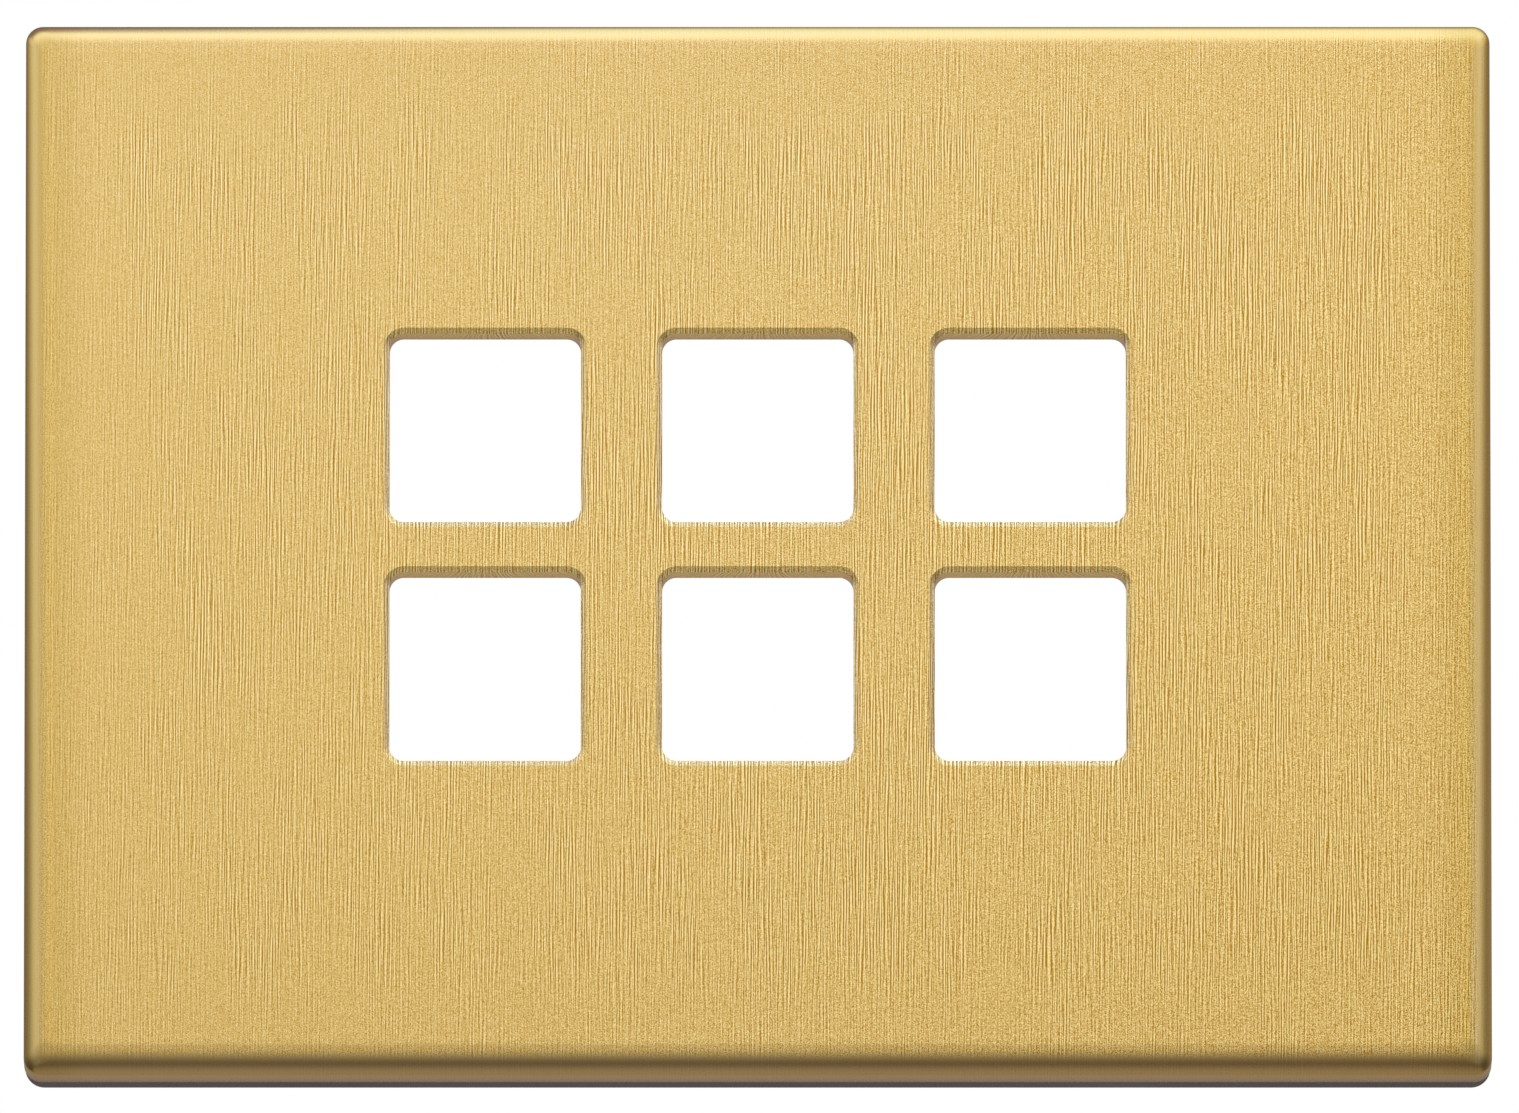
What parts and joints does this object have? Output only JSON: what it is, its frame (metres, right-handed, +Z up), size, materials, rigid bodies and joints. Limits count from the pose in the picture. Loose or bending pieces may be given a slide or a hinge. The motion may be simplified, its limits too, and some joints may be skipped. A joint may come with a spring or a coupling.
{
  "type": "switch plate",
  "caption": "Screwless landscape switch plate: brushed brass front with a grid of square openings and rounded edges, on a moulded clip frame that snaps to a wall support.",
  "frame": {"origin": "middle of the rear face, in the plane that lies against the wall", "axes": "+X to the right along the plate's length, +Y into the wall, +Z up"},
  "size_m": [0.121, 0.0088, 0.0878],
  "materials": {
    "brushed_brass": "satin, brushed vertically",
    "grey_plastic": "fine moulded texture"
  },
  "bodies": {
    "root": {"front_plate": "brushed_brass", "clip_frame": "grey_plastic"}
  },
  "joints": []
}
